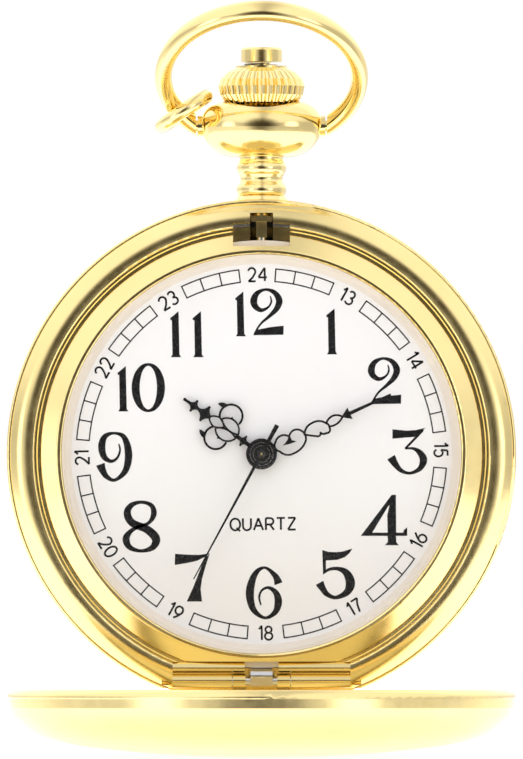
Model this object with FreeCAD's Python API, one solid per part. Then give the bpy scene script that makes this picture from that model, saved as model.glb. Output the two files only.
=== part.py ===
"""Hunter pocket watch with a quartz movement, built as separate pieces.

Units are millimetres. The watch stands upright with its lid open: +Z points to 12 o'clock and the crown,
+X to 3 o'clock, and the dial looks towards -Y. The origin is the centre of the flat back cover.
"""
import FreeCAD
import Part
import math
import os

Vec = FreeCAD.Vector
os.makedirs("parts", exist_ok=True)

# ---------------------------------------------------------------- driving dimensions
CASE_R = 23.25            # outer radius of the case
BACK_FLAT_R = 13.0        # flat middle of the back cover
BACK_ARCS = [(40.0, 8.0), (7.1, 37.2)]   # radius and turn of the arcs round the back cover's edge
BORE_R = 19.6             # bore of the band
SEAT_Y = -7.4             # seat of the bezel and the dial flange
SHOULDER_Y = -3.2         # seat of the back cover's seal
CREST_R = 21.3            # crest of the rounded front rim
CREST_Y = -8.3
RIM_ROUND = 2.0           # radius of the rim's rounding
BEZEL_R = 20.15
BEZEL_HOLE_R = 18.22
GLASS_R = 18.05
GLASS_TOP_Y = -8.7        # top of the glass, which is slightly domed
GLASS_DOME_R = 570.0
GAP = 0.05                # running gap between neighbours

DIAL_Y = -5.6             # front face of the dial
DIAL_T = 0.4
DIAL_R = 18.8
PLATE_FRONT_Y = -4.5      # main plate
PLATE_BACK_Y = -3.7
PLATE_R = 9.6
BRIDGE_FRONT_Y = -2.3     # train bridge
BRIDGE_BACK_Y = -1.75

STEM_Y = -4.1             # axis of the neck, crown and stem
STEM_R = 0.5
CROWN_FLUTES = 30
PENDANT_SQUASH = 0.68     # depth of the pendant's ball over its width
BOW_PIVOT_Z = 30.0
BOW_TILT = 50.0           # the bow leans this far forward, degrees
BOW_R = 8.93              # centre line radius of the bow
BOW_RISE = 6.76           # from the pivots to the centre of the bow
RING_PLACE = 56.0         # the jump ring hangs this many degrees up the bow's left side
RING_SLOPE = 34.0         # its plane rises this much to the right
RING_R = 2.42
RING_WIRE_R = 0.66

HINGE_Y = -7.6            # axis of the lid hinge
HINGE_Z = -20.7
BARREL_R = 0.65
PIN_R = 0.35
BLOCK_HALF = 8.1          # half length of the hinge block
BLOCK_TOP_Z = -18.96      # straight upper edge of the hinge block
KNUCKLE_IN = 1.45         # the lid's two knuckles lie between these distances from the middle
KNUCKLE_OUT = 2.62
FLAT_Z = -21.35           # flat underneath the hinge
LID_R = 22.6
LID_WALL = 0.6
LID_PLANE_Y = -8.4        # rim of the lid when it is shut
LID_OPEN = 88.0           # the lid stands open by this angle
LID_BAND = 1.6            # straight part of the lid's wall
LID_ARCS = [(130.0, 6.4), (22.0, 10.6), (7.5, 27.0), (1.17, 46.0)]   # arcs of the lid's dome, from its middle

LATCH_TOP_Z = 22.0        # slot of the latch in the case
LATCH_LOW_Z = 18.96
WINDOW_HALF = 2.6

HOUR_ANGLE = 305.4        # the hands' angles, clockwise from 12 o'clock
MINUTE_ANGLE = 65.3
SECOND_ANGLE = 208.5
HOUR_HAND_Y = -6.15       # front faces of the flat hands
MINUTE_HAND_Y = -6.6
SECOND_HAND_Y = -7.1
HAND_T = 0.15
HOUR_LENGTH = 8.75        # from the hands' axis to each tip
MINUTE_LENGTH = 13.0
SECOND_LENGTH = 13.0
HOUR_HUB_R = 1.3
MINUTE_HUB_R = 1.42

SECOND_R = 0.12           # arbor of the second hand
CANNON_R = 0.45
THIRD_ANGLE = 160.0       # places of the wheels, as clockwise angles and distances
THIRD_DISTANCE = 2.35
FIFTH_ANGLE = 240.0
FIFTH_DISTANCE = 2.4
ROTOR_ANGLE = 243.0
ROTOR_DISTANCE = 2.24
MINUTE_WHEEL_ANGLE = 30.2
MINUTE_WHEEL_DISTANCE = 2.4
SETTING = (0.0, 4.6)
BATTERY = (5.0, 3.5)
BATTERY_R = 3.4
LEVER_PIVOT = (2.6, 8.2)


# ---------------------------------------------------------------- helpers
def save(shape, name):
    """Write one node."""
    shape.exportStep("parts/" + name + ".step")


def disc_y(radius, y0, y1, x=0.0, z=0.0):
    """A disc with its axis along Y."""
    return Part.makeCylinder(radius, y1 - y0, Vec(x, y0, z), Vec(0, 1, 0))


def ring_y(outer, inner, y0, y1, x=0.0, z=0.0):
    """A washer with its axis along Y."""
    return disc_y(outer, y0, y1, x, z).cut(disc_y(inner, y0 - 1, y1 + 1, x, z))


def rod_z(radius, z0, z1, x=0.0, y=STEM_Y):
    """A rod with its axis along Z."""
    return Part.makeCylinder(radius, z1 - z0, Vec(x, y, z0), Vec(0, 0, 1))


def tube_z(outer, inner, z0, z1):
    """A tube about the stem's axis."""
    return rod_z(outer, z0, z1).cut(rod_z(inner, z0 - 1, z1 + 1))


def rod_x(radius, x0, x1, y, z):
    """A rod with its axis along X."""
    return Part.makeCylinder(radius, x1 - x0, Vec(x0, y, z), Vec(1, 0, 0))


def block(x0, x1, y0, y1, z0, z1):
    """A box between two corners."""
    return Part.makeBox(x1 - x0, y1 - y0, z1 - z0, Vec(x0, y0, z0))


def outline(points, place):
    """A closed wire. A point of four numbers is an arc through the first two to the last two."""
    edges = []
    last = points[0][-2:]
    for point in points[1:] + [points[0][-2:]]:
        end = point[-2:]
        if len(point) == 4:
            edges.append(Part.Arc(place(last), place(point[:2]), place(end)).toShape())
        elif place(last).distanceToPoint(place(end)) > 1e-6:
            edges.append(Part.makeLine(place(last), place(end)))
        last = end
    return Part.Wire(edges)


def turned_y(points):
    """A solid turned about the Y axis from (radius, y) points."""
    face = Part.Face(outline(points, lambda p: Vec(p[0], p[1], 0)))
    return face.revolve(Vec(0, 0, 0), Vec(0, 1, 0), 360)


def turned_z(points):
    """A solid turned about the stem's axis from (radius, z) points."""
    face = Part.Face(outline(points, lambda p: Vec(p[0], STEM_Y, p[1])))
    return face.revolve(Vec(0, STEM_Y, 0), Vec(0, 0, 1), 360)


def plate_y(points, y0, y1):
    """A flat plate from (x, z) points, between two planes."""
    face = Part.Face(outline(points, lambda p: Vec(p[0], y0, p[1])))
    return face.extrude(Vec(0, y1 - y0, 0))


def joined(shapes):
    """All shapes fused into one."""
    return shapes[0].multiFuse(shapes[1:]).removeSplitter()


def dial_turn(shape, angle):
    """The shape turned clockwise about the hands' axis, seen from the front."""
    shape.rotate(Vec(0, 0, 0), Vec(0, 1, 0), angle)
    return shape


def turned_lid(shape):
    """The shape moved from the lid's shut place to its open place."""
    shape.rotate(Vec(0, HINGE_Y, HINGE_Z), Vec(1, 0, 0), LID_OPEN)
    return shape


def polar(distance, angle, start=(0.0, 0.0)):
    """A point at a distance and a clockwise angle from 12 o'clock, from another point."""
    turn = math.radians(angle)
    return (start[0] + distance * math.sin(turn), start[1] + distance * math.cos(turn))


def arc_chain(r, y, heading, pieces):
    """Points of tangent arcs going outwards and forwards: heading in degrees, pieces of (radius, turn)."""
    points = []
    for radius, turn in pieces:
        start = math.radians(heading)
        middle = math.radians(heading + turn / 2)
        end = math.radians(heading + turn)
        points.append((
            r + radius * (math.sin(middle) - math.sin(start)),
            y - radius * (math.cos(start) - math.cos(middle)),
            r + radius * (math.sin(end) - math.sin(start)),
            y - radius * (math.cos(start) - math.cos(end)),
        ))
        r, y = points[-1][2:]
        heading += turn
    return points


# ---------------------------------------------------------------- case
def make_case():
    """Band, back cover, bezel, glass, dial flange and the seals."""
    back_arcs = arc_chain(BACK_FLAT_R, 0.0, 0.0, BACK_ARCS)
    edge_r, edge_y = back_arcs[-1][2:]

    def rim(r):
        return r, CREST_Y + RIM_ROUND - math.sqrt(RIM_ROUND ** 2 - (r - CREST_R) ** 2)

    band = turned_y([
        (BORE_R, SHOULDER_Y), (BORE_R, SEAT_Y), (20.2, SEAT_Y), (20.2, -7.75), (20.42, -7.75), (20.42, -7.98),
        (20.52, -8.08), (20.72, -8.08), (20.76, -8.2, *rim(20.9)), (*rim(21.98), *rim(22.9)),
        (22.95, -7.4), (CASE_R - 0.1, -7.37, CASE_R, -7.15),
        (CASE_R, -4.0), (CASE_R - 0.17, -3.15, edge_r, edge_y), (21.45, edge_y), (21.45, SHOULDER_Y),
    ])
    # The hinge block: the rim runs straight between the hinge's ends, with two barrels.
    housing = block(-BLOCK_HALF, BLOCK_HALF, -9.0, -5.4, -24.0, BLOCK_TOP_Z)
    band = band.cut(housing)
    band = band.cut(block(-9.4, 9.4, -9.0, -3.6, -24.0, FLAT_Z))
    bar = Part.Face(outline(
        [(-5.4, BLOCK_TOP_Z), (-7.8, BLOCK_TOP_Z), (-8.15, -19.25, -8.2, -19.75), (-7.6, -19.98),
         (HINGE_Y, FLAT_Z + 0.3), (-7.3, FLAT_Z), (-5.4, FLAT_Z)],
        lambda p: Vec(-BLOCK_HALF, p[0], p[1]),
    )).extrude(Vec(2 * BLOCK_HALF, 0, 0))
    bar = bar.cut(disc_y(BORE_R, SEAT_Y, -5.0))
    inside_case = disc_y(CASE_R - 0.02, -9.0, -5.0)
    barrel = rod_x(BARREL_R, -BLOCK_HALF, BLOCK_HALF, HINGE_Y, HINGE_Z)
    band = joined([band, bar.common(inside_case), barrel.common(inside_case)])
    band = band.cut(rod_x(PIN_R + 0.03, -BLOCK_HALF - 1, BLOCK_HALF + 1, HINGE_Y, HINGE_Z))
    pocket = KNUCKLE_OUT + 0.08
    band = band.cut(block(-pocket, pocket, -9.0, -6.3, -24.0, -19.9))
    band = band.cut(block(-KNUCKLE_IN - 0.1, KNUCKLE_IN + 0.1, -9.0, -6.3, -24.0, BLOCK_TOP_Z + 0.1))
    band = band.cut(block(-1.2, 1.2, -7.2, -4.7, -20.6, -19.0))
    # The latch: a window in the rim and a slot behind it, a groove for the spring, and the neck's hole.
    band = band.cut(block(-WINDOW_HALF, WINDOW_HALF, -9.0, -5.0, LATCH_LOW_Z, 21.1))
    band = band.cut(block(-1.05, 1.05, -9.0, SHOULDER_Y, LATCH_LOW_Z, LATCH_TOP_Z))
    groove = ring_y(21.1, 20.65, -7.25, -6.15)
    band = band.cut(groove.common(block(-11.0, 11.0, -9.0, -5.0, 15.0, 22.0)))
    band = band.cut(rod_z(1.7, LATCH_TOP_Z + 0.1, 24.0))
    band = band.cut(rod_z(2.5, 22.9, 24.0))
    band = band.cut(rod_z(1.0, 18.0, 23.0))

    back = turned_y([(0, 0), (BACK_FLAT_R, 0)] + back_arcs + [
        (21.4, edge_y), (21.4, -2.87), (20.7, -2.87), (20.7, -1.75), (18.3, -1.05, BACK_FLAT_R, -0.7), (0, -0.7),
    ])
    back_gasket = ring_y(21.35, 20.75, SHOULDER_Y, -2.9)

    # The bezel slopes outwards. It is cut straight along the hinge block and the latch window.
    bezel = turned_y([
        (BEZEL_HOLE_R, SEAT_Y), (BEZEL_HOLE_R, -8.44), (18.27, -8.53, 18.38, -8.57), (18.58, -8.57),
        (18.66, -8.55, 18.74, -8.5), (BEZEL_R - 0.06, -7.8), (BEZEL_R, -7.74), (BEZEL_R, SEAT_Y),
    ])
    bezel = bezel.cut(block(-9.0, 9.0, -9.0, -7.0, -21.0, BLOCK_TOP_Z + GAP))
    bezel = bezel.cut(block(-WINDOW_HALF, WINDOW_HALF, -9.0, -7.0, LATCH_LOW_Z, 21.0))
    dome = arc_chain(0.0, 0.0, 0.0, [(GLASS_DOME_R, math.degrees(math.asin(17.6 / GLASS_DOME_R)))])[0]
    glass = turned_y([
        (0, GLASS_TOP_Y), (dome[0], GLASS_TOP_Y - dome[1], dome[2], GLASS_TOP_Y - dome[3]),
        (GLASS_R - 0.13, -8.37, GLASS_R, -8.25), (GLASS_R, -7.42), (0, -7.42),
    ])
    glass_gasket = ring_y(BEZEL_HOLE_R - 0.02, GLASS_R + 0.02, -8.3, -7.42)
    flange = turned_y([(17.4, DIAL_Y), (17.85, -7.2), (17.85, -7.4), (19.5, -7.4), (19.5, DIAL_Y)])

    save(band, "case_middle")
    save(back, "case_back")
    save(back_gasket, "back_gasket")
    save(bezel, "bezel")
    save(glass, "crystal_glass")
    save(glass_gasket, "glass_gasket")
    save(flange, "dial_flange")
    return [band, back]


def make_lid():
    """Lid shell, its knuckles and the catch lip. All are drawn shut, then turned open."""
    scale = LID_R / arc_chain(0.0, 0.0, 0.0, LID_ARCS)[-1][2]
    outer = arc_chain(0.0, 0.0, 0.0, [(radius * scale, turn) for radius, turn in LID_ARCS])
    inner = arc_chain(0.0, 0.0, 0.0, [(radius * scale - LID_WALL, turn) for radius, turn in LID_ARCS])
    # The chains run outwards and towards the case, so their y values are counted back from the apex.
    apex_y = LID_PLANE_Y - LID_BAND + outer[-1][3]
    floor_y = apex_y + LID_WALL
    skin = [(p[0], apex_y - p[1], p[2], apex_y - p[3]) for p in outer]
    hollow = [(p[0], floor_y - p[1], p[2], floor_y - p[3]) for p in inner]
    shell = turned_y([(0, apex_y)] + skin + [
        (LID_R, LID_PLANE_Y - 0.8), (LID_R - 0.1, LID_PLANE_Y - 0.3, LID_R - 0.48, LID_PLANE_Y), (0, LID_PLANE_Y),
    ])
    cavity = turned_y([(0, floor_y)] + hollow + [(LID_R - LID_WALL, LID_PLANE_Y + 1), (0, LID_PLANE_Y + 1)])
    shell = shell.cut(cavity)

    knuckles = []
    for side in (-1, 1):
        x0, x1 = sorted((side * KNUCKLE_IN, side * KNUCKLE_OUT))
        eye = rod_x(0.62, x0, x1, HINGE_Y, HINGE_Z)
        web = block(x0, x1, -9.3, LID_PLANE_Y + 0.15, -22.02, -20.45)
        neck = block(x0, x1, -8.8, HINGE_Y - 0.2, -21.3, -20.45)
        eye = joined([eye, web, neck]).common(disc_y(21.98, -12.0, -5.0))
        knuckles.append(eye.cut(rod_x(PIN_R + 0.03, x0 - 1, x1 + 1, HINGE_Y, HINGE_Z)))
    catch = block(-1.3, 1.3, -8.95, -8.5, 21.5, 22.5).common(disc_y(21.98, -12.0, -5.0))

    save(turned_lid(shell), "lid_shell")
    save(turned_lid(Part.makeCompound(knuckles)), "lid_knuckles")
    save(turned_lid(catch), "lid_catch")


def make_hinge_and_latch():
    """Hinge pin, lift spring with its tongue, latch hook, latch spring and its screws."""
    pin = rod_x(PIN_R, -BLOCK_HALF + 0.1, BLOCK_HALF - 0.1, HINGE_Y, HINGE_Z)
    tongue = Part.Face(outline(
        [(-6.4, -19.6), (-7.6, -19.6), (-8.28, -19.8, -8.45, -20.4), (-8.42, -21.1), (-8.22, -21.1),
         (-8.2, -20.4), (-8.08, -19.98, -7.6, -19.85), (-6.4, -19.85)],
        lambda p: Vec(-1.0, p[0], p[1]),
    )).extrude(Vec(2.0, 0, 0))
    leg = block(-1.0, 1.0, -6.8, -4.9, -20.1, -19.7)
    save(joined([tongue, leg]), "lift_spring")

    plate = block(-0.95, 0.95, -8.0, SHOULDER_Y - 0.08, 21.2, 21.7).cut(rod_z(0.7, 20.0, 23.0))
    post = block(-0.5, 0.5, -7.95, -7.45, 19.75, 21.3)
    arm = block(-0.6, 0.6, -9.45, -7.9, 21.2, 21.45)
    nose = plate_y([(-0.6, 21.2), (0.6, 21.2), (0.45, 21.75), (-0.45, 21.75)], -9.45, -9.0)
    save(joined([plate, post, arm, nose]), "latch_hook")

    spring = ring_y(21.05, 20.8, -7.2, -6.2).common(block(-10.0, 10.0, -9.0, -5.0, 15.0, 22.0))
    spring = spring.cut(block(-1.06, 1.06, -9.0, -5.0, 15.0, 22.0))
    save(spring, "latch_spring")
    save(pin, "hinge_pin")


# ---------------------------------------------------------------- crown end
def squashed(shape, part):
    """The shape squeezed along Y about the stem's axis."""
    squash = FreeCAD.Matrix()
    squash.move(Vec(0, -STEM_Y, 0))
    squash.scale(Vec(1.0, part, 1.0))
    squash.move(Vec(0, STEM_Y, 0))
    return shape.transformGeometry(squash)


def make_pendant(case):
    """Neck with its foot and flattened ball in one piece, and the slotted sleeve inside it."""
    neck = turned_z([
        (0, LATCH_TOP_Z + 0.15), (1.65, LATCH_TOP_Z + 0.15), (1.65, 22.95), (2.25, 22.95), (2.06, 23.6),
        (2.28, 24.2, 2.06, 24.8), (1.96, 25.0, 1.96, 25.35), (2.06, 25.6), (2.28, 26.2, 2.06, 26.8),
        (1.98, 27.0), (2.0, 27.6), (0, 27.6),
    ])
    foot = squashed(turned_z([(0, 22.2), (3.3, 22.2), (3.3, 22.98), (2.42, 23.25, 2.1, 23.85), (0, 23.85)]), 0.62)
    for shape in case:
        foot = foot.cut(shape)
    ball = turned_z([
        (0, 27.2), (2.0, 27.2), (4.6, 28.05, 5.6, 29.9), (5.1, 31.5, 3.9, 32.2), (0, 32.2),
    ])
    ball = squashed(ball, PENDANT_SQUASH)
    ears = rod_x(0.95, -5.85, 5.85, STEM_Y, BOW_PIVOT_Z)
    dish = turned_z([(0, 31.35), (2.9, 31.36), (3.3, 31.6, 3.55, 32.0), (3.95, 32.5), (0, 32.5)])
    body = joined([neck, foot, ball, ears]).cut(dish)
    body = body.cut(rod_z(1.5, 21.0, 34.0))
    body = body.cut(rod_x(0.6, -7.0, -4.6, STEM_Y, BOW_PIVOT_Z))
    body = body.cut(rod_x(0.6, 4.6, 7.0, STEM_Y, BOW_PIVOT_Z))
    save(body, "pendant")

    sleeve = tube_z(1.5, 1.32, 23.0, 31.2)
    slot = block(-0.1, 0.1, -8.0, 0.0, 22.0, 27.0)
    save(sleeve.cut(slot), "pendant_sleeve")


def fluted(sections, flutes):
    """A solid through scalloped outlines. A section is the crest radius, the valley radius and z."""
    wires = []
    for crest, valley, z in sections:
        points = []
        for i in range(flutes):
            middle = 2 * math.pi * (i + 0.5) / flutes
            end = 2 * math.pi * (i + 1) / flutes
            points.append((
                crest * math.cos(middle), crest * math.sin(middle), valley * math.cos(end), valley * math.sin(end),
            ))
        wires.append(outline([(valley, 0.0)] + points, lambda p: Vec(p[0], STEM_Y + p[1], z)))
    return Part.makeLoft(wires, True, True)


def make_crown():
    """Crown, stem, the button with its two legs, the button's spring and the crown's seal."""
    bulb = joined([
        fluted([(1.75, 1.7, 31.5), (2.75, 2.6, 31.75), (3.35, 3.13, 32.15), (3.8, 3.55, 32.85), (3.97, 3.72, 33.65)],
               CROWN_FLUTES),
        fluted([(3.97, 3.72, 33.65), (3.75, 3.5, 34.3), (3.1, 2.9, 34.95), (2.35, 2.25, 35.35)], CROWN_FLUTES),
        rod_z(2.35, 35.3, 35.5),
    ])
    pipe = rod_z(1.28, 27.5, 32.2)
    crown = joined([bulb, pipe])
    crown = crown.cut(rod_z(0.9, 27.0, 36.0))
    crown = crown.cut(rod_z(1.95, 34.4, 36.0))
    spokes = block(-1.2, 1.2, STEM_Y - 0.3, STEM_Y + 0.3, 33.0, 33.8)
    crown = joined([crown, spokes, rod_z(0.56, 33.0, 33.8)])
    crown = crown.cut(rod_z(STEM_R, 20.0, 33.5))
    save(crown, "crown")

    stem = joined([
        rod_z(STEM_R, 8.3, 33.5), rod_z(0.36, 7.4, 8.4), rod_z(STEM_R, 6.8, 7.5),
        block(-0.3, 0.3, STEM_Y - 0.3, STEM_Y + 0.3, 5.2, 6.9), rod_z(0.22, 4.9, 5.3),
    ])
    save(stem, "stem")

    legs = tube_z(0.85, 0.62, 21.75, 36.2)
    gate = block(-1.2, 1.2, STEM_Y - 0.42, STEM_Y + 0.42, 32.9, 34.75)
    cap = turned_z([(0, 35.9), (1.88, 35.9), (1.88, 36.95), (1.78, 37.15, 1.6, 37.2), (0, 37.25)])
    save(joined([legs.cut(gate), cap]), "release_button")

    coil = Part.makeHelix(0.34, 1.3, 1.5)
    wire = Part.Wire(Part.makeCircle(0.12, Vec(1.5, 0, 0), Vec(0, 1, 0)))
    spring = Part.Wire(coil).makePipeShell([wire], True, True)
    spring.translate(Vec(0, STEM_Y, 34.52))
    save(spring, "button_spring")

    save(tube_z(1.48, 1.3, 31.22, 31.5), "crown_gasket")


def bow_frame(shape):
    """A shape drawn with the bow upright in the XZ plane about its pivots, leaned forward and put in place."""
    shape.rotate(Vec(0, 0, 0), Vec(1, 0, 0), BOW_TILT)
    shape.translate(Vec(0, STEM_Y, BOW_PIVOT_Z))
    return shape


def make_bow():
    """The bow, and the chain's jump ring threaded on it."""
    # The section's long side lies across the plane of the bow.
    face = Part.Face(Part.Wire(Part.Ellipse(Vec(0, 0, 0), 1.0, 0.775).toShape()))
    face.rotate(Vec(0, 0, 0), Vec(0, 0, 1), 90)
    face.rotate(Vec(0, 0, 0), Vec(1, 0, 0), 90)
    face.translate(Vec(BOW_R, 0, 0))
    hoop = face.revolve(Vec(0, 0, 0), Vec(0, 0, 1), 360)
    hoop.rotate(Vec(0, 0, 0), Vec(1, 0, 0), 90)
    hoop.translate(Vec(0, 0, BOW_RISE))
    hoop = hoop.cut(block(-6.0, 6.0, -3.0, 3.0, -4.0, 3.0))
    pins = [rod_x(0.55, 4.75, 6.6, 0.0, 0.0), rod_x(0.55, -6.6, -4.75, 0.0, 0.0)]
    save(bow_frame(joined([hoop] + pins)), "bow")

    lean = math.radians(BOW_TILT)
    place = math.radians(RING_PLACE)
    rise = BOW_RISE - BOW_R * math.cos(place)
    inward = 0.3
    upward = 0.2
    centre = Vec(
        inward - BOW_R * math.sin(place), STEM_Y - rise * math.sin(lean), upward + BOW_PIVOT_Z + rise * math.cos(lean)
    )
    slope = math.radians(RING_SLOPE)
    save(Part.makeTorus(RING_R, RING_WIRE_R, centre, Vec(-math.sin(slope), 0, math.cos(slope))), "chain_ring")


# ---------------------------------------------------------------- dial and hands
def arc_middle(start, middle, end):
    """The centre and radius of the circle through three points."""
    edge = Part.Arc(Vec(start[0], 0, start[1]), Vec(middle[0], 0, middle[1]), Vec(end[0], 0, end[1])).toShape()
    return (edge.Curve.Center.x, edge.Curve.Center.z), edge.Curve.Radius


def stroke(points, width, y0, y1):
    """Plates along a line of even width. A point of four numbers is an arc, as in outline."""
    plates = []
    half = width / 2
    last = points[0]
    for point in points[1:]:
        end = point[-2:]
        if len(point) == 4:
            centre, radius = arc_middle(last, point[:2], end)
            sides = []
            for grown in ((radius + half) / radius, (radius - half) / radius):
                sides.append([(centre[0] + (p[0] - centre[0]) * grown, centre[1] + (p[1] - centre[1]) * grown)
                              for p in (last, point[:2], end)])
            (a, b, c), (d, e, f) = sides
            plates.append(plate_y([a, b + c, f, e + d], y0, y1))
        else:
            along = math.hypot(end[0] - last[0], end[1] - last[1])
            dx = half * (end[1] - last[1]) / along
            dz = half * (end[0] - last[0]) / along
            corners = [(last[0] + dx, last[1] - dz), (end[0] + dx, end[1] - dz),
                       (end[0] - dx, end[1] + dz), (last[0] - dx, last[1] + dz)]
            plates.append(plate_y(corners, y0, y1))
        plates.append(disc_y(half, y0, y1, end[0], end[1]))
        last = end
    return plates


def cross(z, half, reach, y0, y1):
    """A four-pointed ornament with hollow flanks."""
    flank = 0.4 * half
    return plate_y([
        (half, z - 0.1), (half, z + 0.1), (flank, z + flank, 0.15, z + reach), (-0.15, z + reach),
        (-flank, z + flank, -half, z + 0.1), (-half, z - 0.1), (-flank, z - flank, -0.15, z - reach),
        (0.15, z - reach), (flank, z - flank, half, z - 0.1),
    ], y0, y1)


def hour_hand_shape(y0, y1):
    """The openwork hour hand, pointing to 12 o'clock."""
    pieces = [
        ring_y(HOUR_HUB_R, 0.5, y0, y1),
        block(-0.18, 0.18, y0, y1, 1.2, 2.9),
        cross(2.05, 0.56, 0.45, y0, y1),
        cross(6.35, 0.82, 0.66, y0, y1),
        cross(7.58, 0.62, 0.64, y0, y1),
        block(-0.13, 0.13, y0, y1, 8.0, HOUR_LENGTH - 0.14),
        disc_y(0.15, y0, y1, 0.0, HOUR_LENGTH - 0.15),
    ]
    for side in (-1, 1):
        pieces += stroke([(0, 5.87), (side * 0.3, 5.55, side * 0.5, 5.08), (side * 0.32, 4.6, 0, 4.2)],
                         0.16, y0, y1)
        pieces += stroke([(side * 0.5, 5.03), (side * 2.26, 4.28, side * 1.08, 3.24)], 0.2, y0, y1)
        pieces += stroke([(side * 0.5, 4.8), (side * 1.02, 3.6, side * 0.2, 2.75)], 0.17, y0, y1)
        pieces += stroke([(side * 0.5, 4.8), (side * 0.03, 3.85, side * 0.2, 2.75)], 0.17, y0, y1)
        pieces.append(plate_y([(side * 0.88, 4.3), (side * 1.24, 4.12), (side * 1.0, 3.85)], y0, y1))
        pieces.append(plate_y([(side * 1.85, 5.05), (side * 1.78, 5.6, side * 1.45, 5.92),
                               (side * 1.38, 5.55, side * 1.5, 5.15)], y0, y1))
    return joined(pieces)


def minute_hand_shape(y0, y1):
    """The openwork minute hand, pointing to 12 o'clock."""
    pieces = [ring_y(MINUTE_HUB_R, 0.28, y0, y1)]
    # The heart with its curl, the scalloped loop and the small loop, from the hub outwards.
    pieces += stroke([
        (-0.37, 2.96), (-0.76, 2.42, -0.45, 1.62), (0.02, 1.36, 0.5, 1.62), (1.05, 2.08, 1.18, 2.75),
        (1.06, 3.5, 0.62, 4.15), (0.08, 4.36, -0.42, 4.18), (-0.74, 3.6, -0.37, 2.96),
    ], 0.19, y0, y1)
    pieces.append(plate_y([
        (0.12, 2.05), (-0.02, 2.4), (-0.2, 2.72), (-0.42, 2.88), (-0.34, 3.06), (0.0, 3.04), (0.3, 3.4), (0.25, 2.75),
    ], y0, y1))
    pieces += stroke([
        (0.03, 4.31), (-0.45, 4.72, -0.64, 5.4), (-0.5, 6.1, -0.06, 6.55), (0.2, 6.68, 0.42, 6.64),
        (0.74, 6.5, 0.74, 6.17), (0.68, 5.86, 0.48, 5.71), (0.7, 5.52, 0.64, 5.27), (0.42, 4.9, 0.2, 4.56),
        (0.03, 4.31),
    ], 0.19, y0, y1)
    pieces += stroke([(-0.06, 6.55), (-0.44, 7.32, 0.0, 8.13), (0.38, 7.38, 0.3, 6.66)], 0.19, y0, y1)
    pieces.append(plate_y([(0, 8.02), (0.58, 8.9), (-0.58, 8.9)], y0, y1))
    pieces.append(plate_y([(-0.17, 8.8), (0.17, 8.8), (0.1, MINUTE_LENGTH), (-0.1, MINUTE_LENGTH)], y0, y1))
    return joined(pieces)


def make_hands():
    """Dial and the three hands on their pipes."""
    dial = disc_y(DIAL_R, DIAL_Y, DIAL_Y + DIAL_T).cut(disc_y(0.85, -7.0, -4.0))
    save(dial, "dial")

    y = HOUR_HAND_Y
    hour = joined([hour_hand_shape(y, y + HAND_T), ring_y(0.95, 0.5, y - 0.05, y + 0.3)])
    save(dial_turn(hour.cut(disc_y(0.7, -7.0, -5.0)), HOUR_ANGLE), "hour_hand")

    y = MINUTE_HAND_Y
    minute = joined([minute_hand_shape(y, y + HAND_T), ring_y(0.8, 0.3, y - 0.02, y + 0.3)])
    save(dial_turn(minute.cut(disc_y(CANNON_R, -7.5, -5.0)), MINUTE_ANGLE), "minute_hand")

    y = SECOND_HAND_Y
    sweep = plate_y([
        (-0.21, -3.0), (0.21, -3.0), (0.15, 0.0), (0.05, SECOND_LENGTH), (-0.05, SECOND_LENGTH), (-0.15, 0.0),
    ], y, y + HAND_T)
    boss = turned_y([(0.11, y + 0.35), (0.4, y + 0.35), (0.4, y - 0.02), (0.3, y - 0.12, 0.11, y - 0.14)])
    second = joined([sweep, disc_y(0.72, y, y + HAND_T), boss]).cut(disc_y(SECOND_R, -8.0, -5.0))
    save(dial_turn(second, SECOND_ANGLE), "second_hand")


# ---------------------------------------------------------------- movement
THIRD = polar(THIRD_DISTANCE, THIRD_ANGLE)
FIFTH = polar(FIFTH_DISTANCE, FIFTH_ANGLE)
ROTOR = polar(ROTOR_DISTANCE, ROTOR_ANGLE, FIFTH)
MINUTE_WHEEL = polar(MINUTE_WHEEL_DISTANCE, MINUTE_WHEEL_ANGLE)


def gear(teeth, module, y0, y1, x, z, turn=0.0, bore=0.0):
    """A spur gear with straight-flanked teeth. A gap points along +Z when turn is zero."""
    pitch = teeth * module / 2
    tip = pitch + 0.9 * module
    root = pitch - 1.1 * module
    step = 2 * math.pi / teeth
    points = []
    for i in range(teeth):
        centre = (i + 0.5) * step + math.radians(turn)
        for radius, part in ((root, -0.33), (tip, -0.12), (tip, 0.12), (root, 0.33)):
            angle = centre + part * step
            points.append((x + radius * math.sin(angle), z + radius * math.cos(angle)))
    solid = plate_y(points, y0, y1)
    if bore > 0:
        solid = solid.cut(disc_y(bore, y0 - 1, y1 + 1, x, z))
    return solid


def arbor(radius, y0, y1, x, z):
    """A thin shaft along Y."""
    return disc_y(radius, y0, y1, x, z)


def mate_turn(teeth, angle, tooth=True):
    """The turn that puts a tooth, or a gap, of a gear at this angle."""
    return angle - 180.0 / teeth if tooth else angle


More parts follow.
